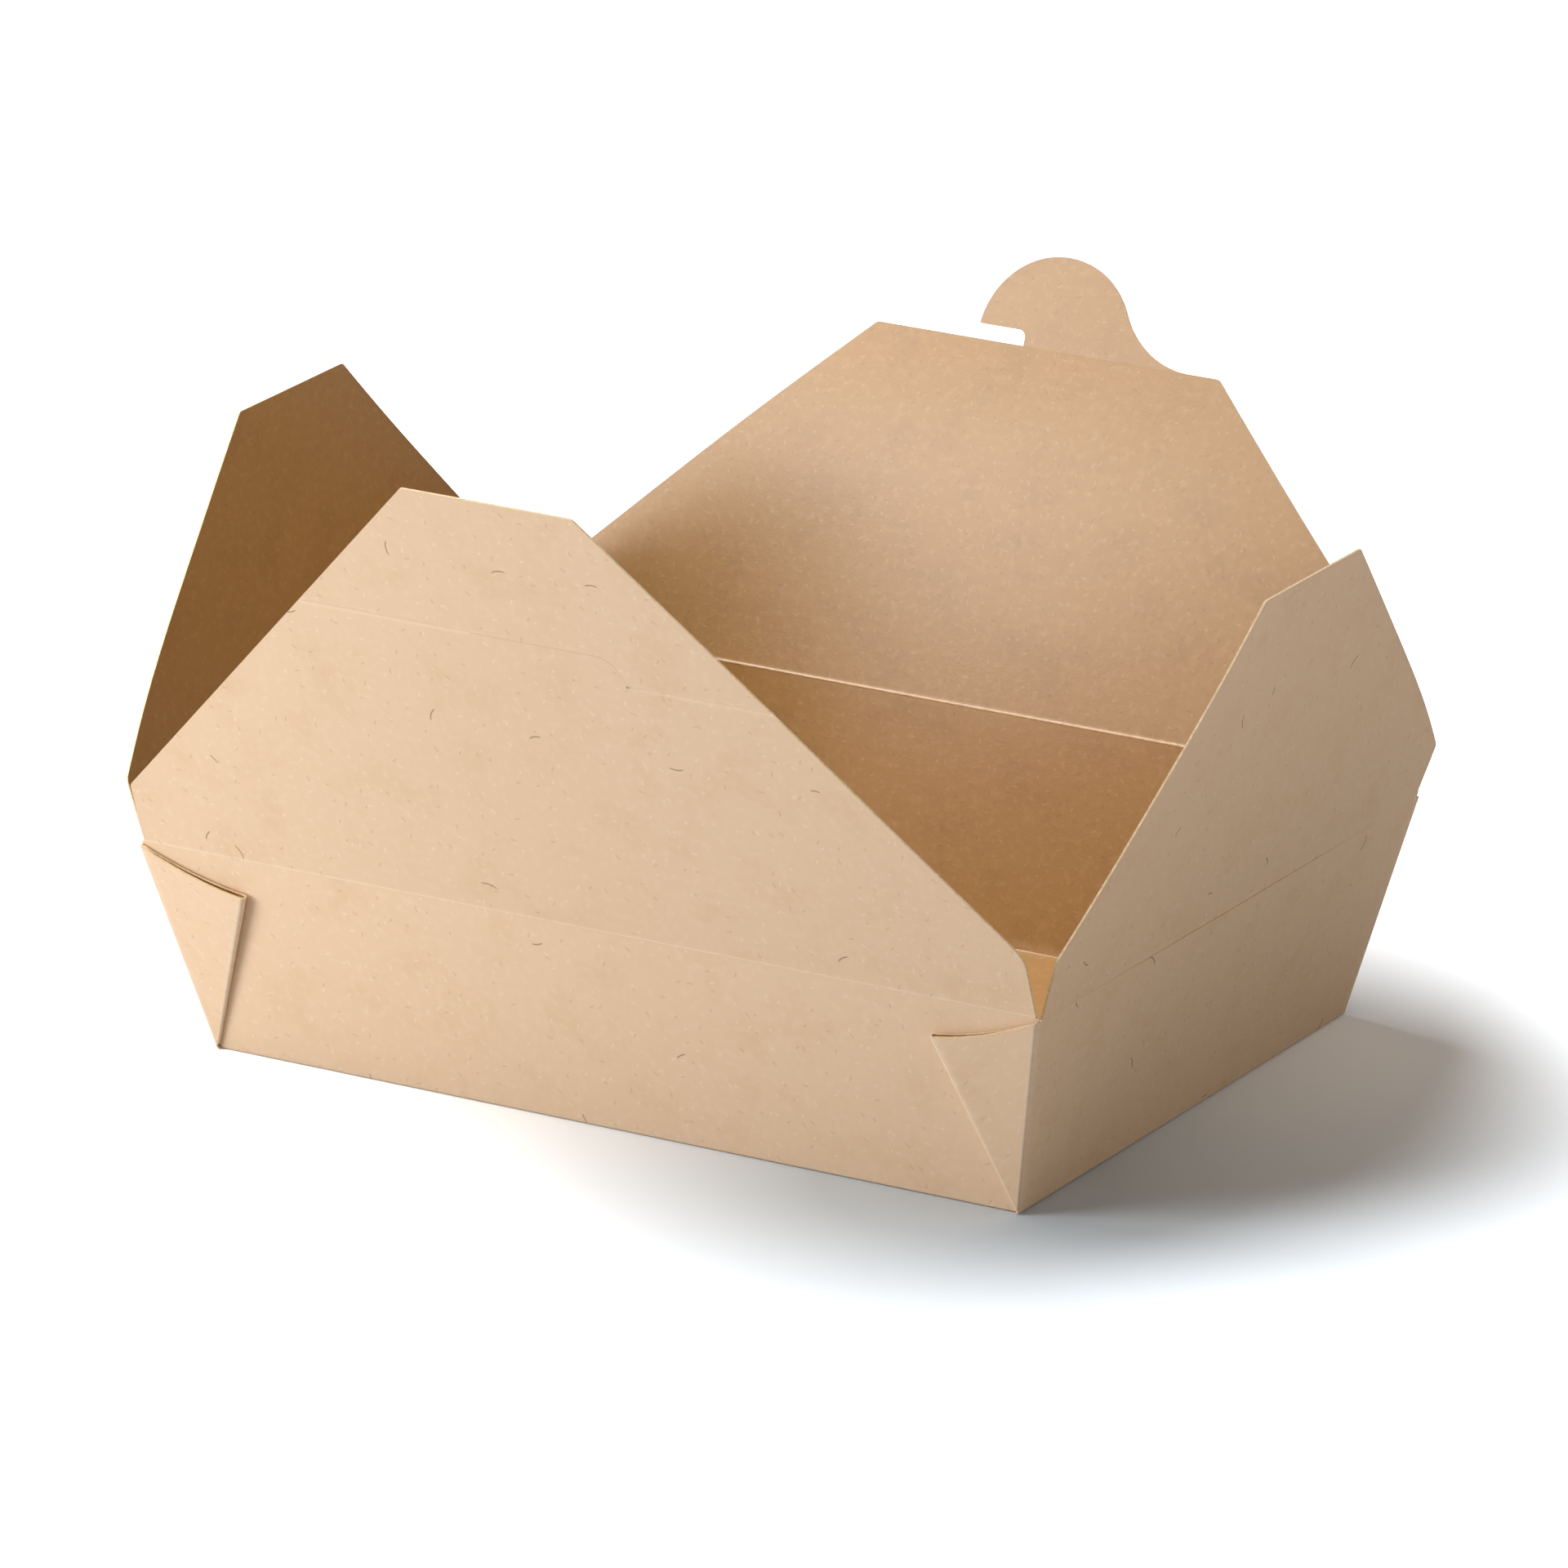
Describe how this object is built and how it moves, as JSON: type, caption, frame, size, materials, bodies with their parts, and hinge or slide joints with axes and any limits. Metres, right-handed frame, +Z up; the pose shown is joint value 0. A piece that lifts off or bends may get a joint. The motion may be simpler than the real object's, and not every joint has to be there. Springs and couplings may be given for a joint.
{
  "type": "takeaway box",
  "caption": "Folded kraft board takeaway box, standing open: flaring tray with webbed corners and hinged flaps, a hook on the back flap and a slit for it in the front one.",
  "frame": {"origin": "middle of the tray's underside, on the surface that it stands on", "axes": "+Z up; +X along the length of the box, towards the right end; -Y towards the front wall, whose flap has the slit"},
  "size_m": [0.2522, 0.2416, 0.1516],
  "materials": {
    "kraft_board": "uncoated natural kraft paperboard, matt outside and faintly sheened inside"
  },
  "bodies": {
    "tray": {"tray": "kraft_board"},
    "front_flap": {"front_flap": "kraft_board"},
    "back_flap": {"back_flap": "kraft_board"},
    "left_end_flap": {"left_end_flap": "kraft_board"},
    "right_end_flap": {"right_end_flap": "kraft_board"}
  },
  "joints": [
    {"name": "left_end_fold", "type": "hinge", "parent": "tray", "child": "left_end_flap", "pos_m": [-0.10927, 0, 0.048], "axis": [0, 1, 0], "range_deg": [-75.5, 104.5]},
    {"name": "right_end_fold", "type": "hinge", "parent": "tray", "child": "right_end_flap", "pos_m": [0.10927, 0, 0.048], "axis": [0, -1, 0], "range_deg": [-71.9, 108.1]},
    {"name": "front_fold", "type": "hinge", "parent": "tray", "child": "front_flap", "pos_m": [0, -0.08194, 0.0487], "axis": [-1, 0, 0], "range_deg": [-70.1, 109.9]},
    {"name": "back_fold", "type": "hinge", "parent": "tray", "child": "back_flap", "pos_m": [0, 0.08212, 0.0494], "axis": [1, 0, 0], "range_deg": [-66.6, 113.4]}
  ]
}
